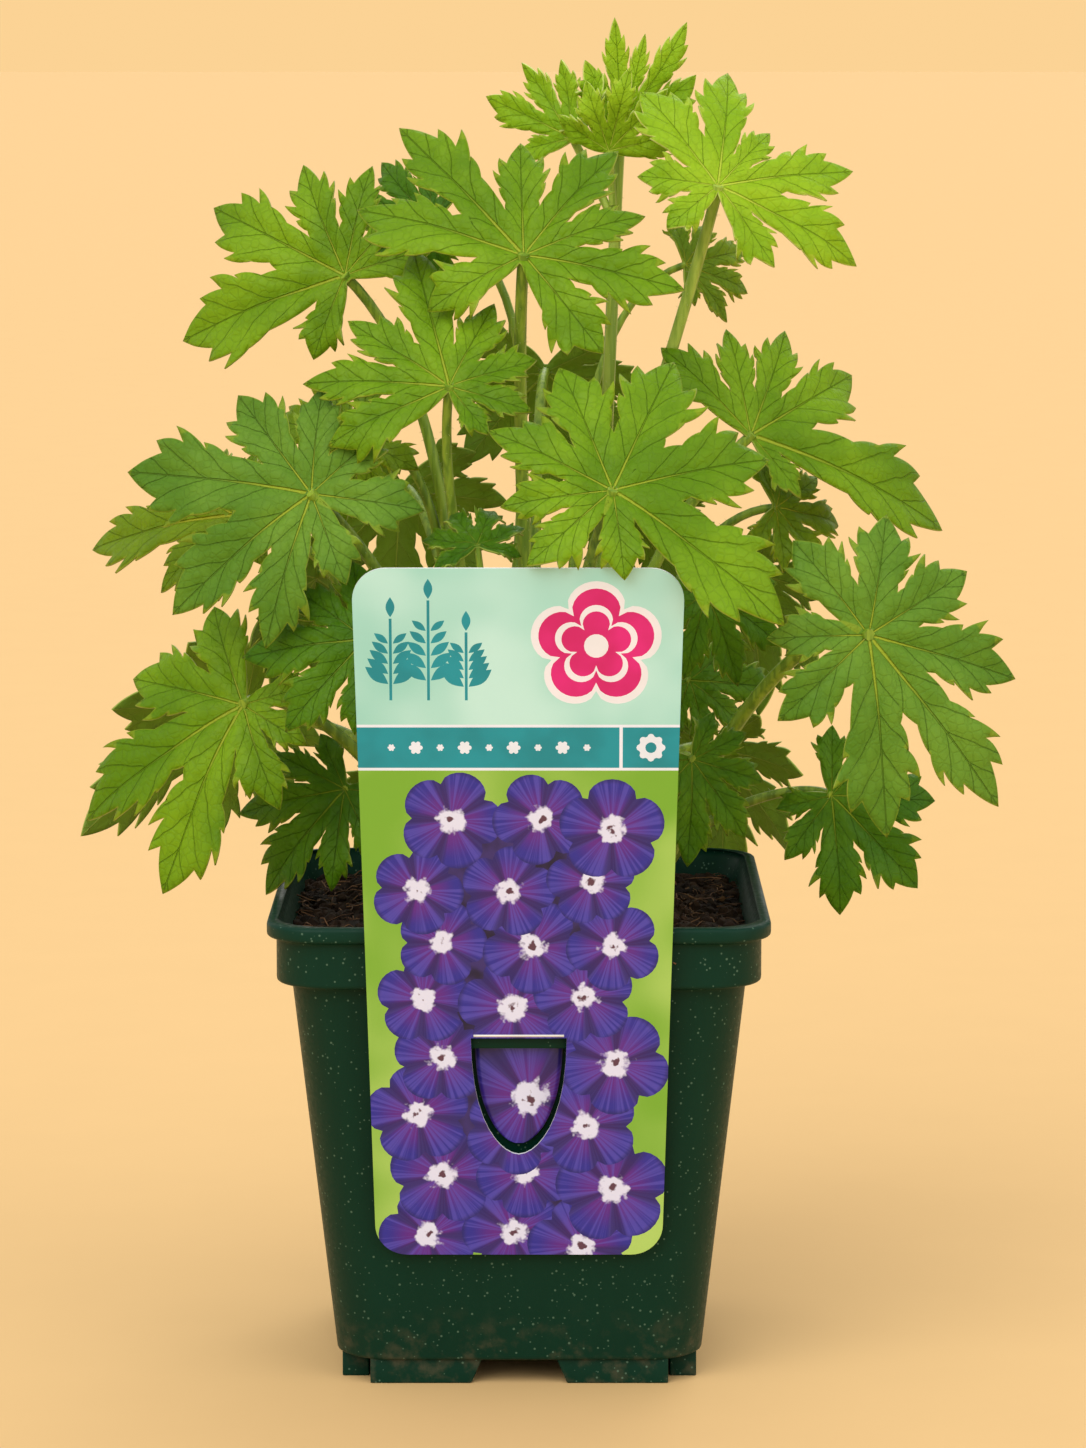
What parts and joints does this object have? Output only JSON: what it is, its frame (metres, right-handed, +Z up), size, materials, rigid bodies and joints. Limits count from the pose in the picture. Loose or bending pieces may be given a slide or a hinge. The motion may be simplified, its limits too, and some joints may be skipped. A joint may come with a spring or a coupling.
{
  "type": "potted delphinium plant",
  "caption": "Leafy delphinium plant with deeply lobed toothed leaves on slender stalks, growing in soil in a square tapered nursery pot with a plain plant label hung on its front.",
  "frame": {"origin": "centre of the pot on the surface that it stands on, which is the bottom centre of the whole plant's box within 2 mm", "axes": "+Z up along the pot and the shoot, label toward -Y, the pot's sides along X and Y"},
  "size_m": [0.2126, 0.1494, 0.2997],
  "materials": {
    "pot_plastic": "satin, with fine pale specks",
    "peat": "rough damp peat",
    "label_plastic": "printed plastic sheet",
    "leaf": "soft satin leaf",
    "young_leaf": "soft satin young leaf"
  },
  "bodies": {
    "root": {"label": "label_plastic", "leaf_back_right": "leaf", "leaf_behind_high": "leaf", "leaf_behind_left": "leaf", "leaf_beside_label": "leaf", "leaf_beside_low": "leaf", "leaf_beside_mid": "leaf", "leaf_far_left": "leaf", "leaf_front": "leaf", "leaf_inner_left": "leaf", "leaf_left": "leaf", "leaf_left_high": "leaf", "leaf_left_low": "leaf", "leaf_low_left": "leaf", "leaf_low_right": "leaf", "leaf_mid_high": "leaf", "leaf_mid_left": "leaf", "leaf_rear_high": "leaf", "leaf_rear_inner": "leaf", "leaf_rear_left": "leaf", "leaf_rear_low": "leaf", "leaf_rear_low_left": "leaf", "leaf_rear_low_right": "leaf", "leaf_rear_mid": "leaf", "leaf_rear_right": "leaf", "leaf_rear_side": "leaf", "leaf_right": "leaf", "leaf_right_high": "young_leaf", "leaf_right_low": "leaf", "leaf_small_right": "leaf", "leaf_tiny_front": "leaf", "pot": "pot_plastic", "shoot": "young_leaf", "soil": "peat"}
  },
  "joints": []
}
